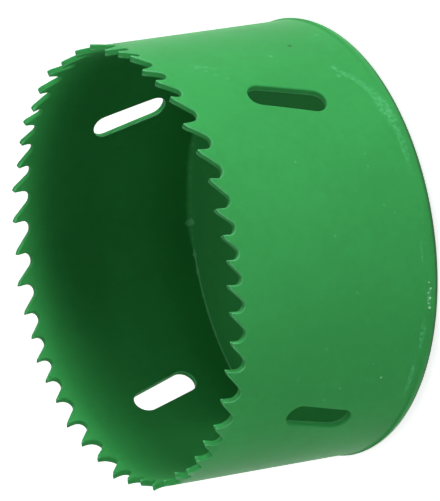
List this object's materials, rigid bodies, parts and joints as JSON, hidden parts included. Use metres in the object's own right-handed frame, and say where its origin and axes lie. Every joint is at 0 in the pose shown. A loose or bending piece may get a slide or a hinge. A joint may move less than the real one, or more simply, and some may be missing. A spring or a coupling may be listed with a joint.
{
  "type": "hole saw",
  "caption": "Cup-shaped hole saw: a rolled, toothed steel ring with slanted ejection slots, welded to a thick end cap with a threaded centre hole and drive pin holes.",
  "frame": {"origin": "centre of the end cap's back face", "axes": "+Z along the saw's axis from the cap to the tooth tips, +X through the joint where the strip's ends meet"},
  "size_m": [0.0822, 0.0822, 0.0444],
  "materials": {
    "ring_paint": "satin green paint",
    "cap_paint": "satin green paint"
  },
  "bodies": {
    "root": {"toothed_ring": "ring_paint", "end_cap": "cap_paint"}
  },
  "joints": []
}
